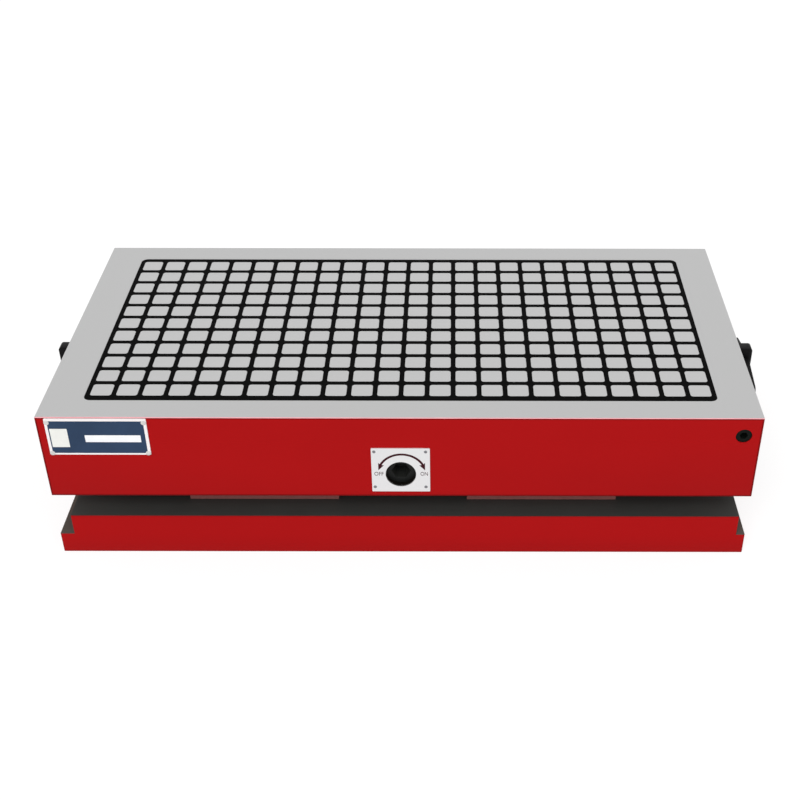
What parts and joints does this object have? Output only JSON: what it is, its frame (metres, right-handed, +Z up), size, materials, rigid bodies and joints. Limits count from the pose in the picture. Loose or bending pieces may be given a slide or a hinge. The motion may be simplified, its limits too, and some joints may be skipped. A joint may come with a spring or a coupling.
{
  "type": "magnetic chuck",
  "caption": "Switchable permanent magnetic chuck: flat face of square steel poles on a clamping base, turned on and off by a hex key in the front, with hinged lifting rings.",
  "frame": {"origin": "centre of the base's underside", "axes": "+X along the chuck's length, +Y away from the key side, +Z up, out of the work face"},
  "size_m": [0.6426, 0.3015, 0.145],
  "materials": {
    "red_paint": "gloss red machine paint",
    "groove_steel": "dull grey oxide",
    "ground_steel": "surface ground, red paint on the sides",
    "pole_steel": "surface ground",
    "black_resin": "cast black resin, ground flush",
    "magnet": "sintered magnet",
    "wear_sheet": "non-magnetic stainless sheet",
    "screw_steel": "black oxide",
    "shaft_steel": "turned and hardened",
    "yoke_steel": "milled",
    "frame_aluminium": "milled",
    "bronze": "turned bronze",
    "seal_rubber": "smooth",
    "silver_plate": "printed plate",
    "nameplate_print": "printed plate with a bare silver border",
    "plug_steel": "black oxide",
    "black_steel": "satin black"
  },
  "bodies": {
    "chuck": {"base_plate": "red_paint", "base_bolts": "screw_steel", "waist_block": "groove_steel", "housing": "red_paint", "top_plate": "ground_steel", "top_plate_screws": "screw_steel", "top_seal": "seal_rubber", "pole_bars_north": "pole_steel", "pole_bars_south": "pole_steel", "fixed_magnets": "magnet", "gap_filler": "black_resin", "wear_plate": "wear_sheet", "shaft_bushes": "bronze", "guide_rails": "bronze", "travel_stops": "yoke_steel", "control_plate": "silver_plate", "nameplate": "nameplate_print", "oil_plug": "plug_steel", "eye_bolts": "black_steel"},
    "drive_shaft": {"drive_shaft": "shaft_steel"},
    "carrier": {"yoke_plate": "yoke_steel", "rack": "shaft_steel", "magnet_frame": "frame_aluminium", "carrier_magnets_north": "magnet", "carrier_magnets_south": "magnet"},
    "ring_right": {"lifting_ring_right": "black_steel"},
    "ring_left": {"lifting_ring_left": "black_steel"}
  },
  "joints": [
    {"name": "carrier_slide", "type": "slide", "parent": "chuck", "child": "carrier", "axis": [1, 0, 0], "range_m": [0, 0.022]},
    {"name": "key_turn", "type": "hinge", "parent": "chuck", "child": "drive_shaft", "pos_m": [0, 0, 0.0876], "axis": [0, 1, 0], "range_deg": [0, 180]},
    {"name": "ring_right_swing", "type": "hinge", "parent": "chuck", "child": "ring_right", "pos_m": [0.313, 0, 0.106], "axis": [0, -1, 0], "range_deg": [0, 180]},
    {"name": "ring_left_swing", "type": "hinge", "parent": "chuck", "child": "ring_left", "pos_m": [-0.313, 0, 0.106], "axis": [0, 1, 0], "range_deg": [0, 180]}
  ],
  "couplings": [
    {"joint": "key_turn", "follows": "carrier_slide", "rad_per_m": 142.8}
  ]
}
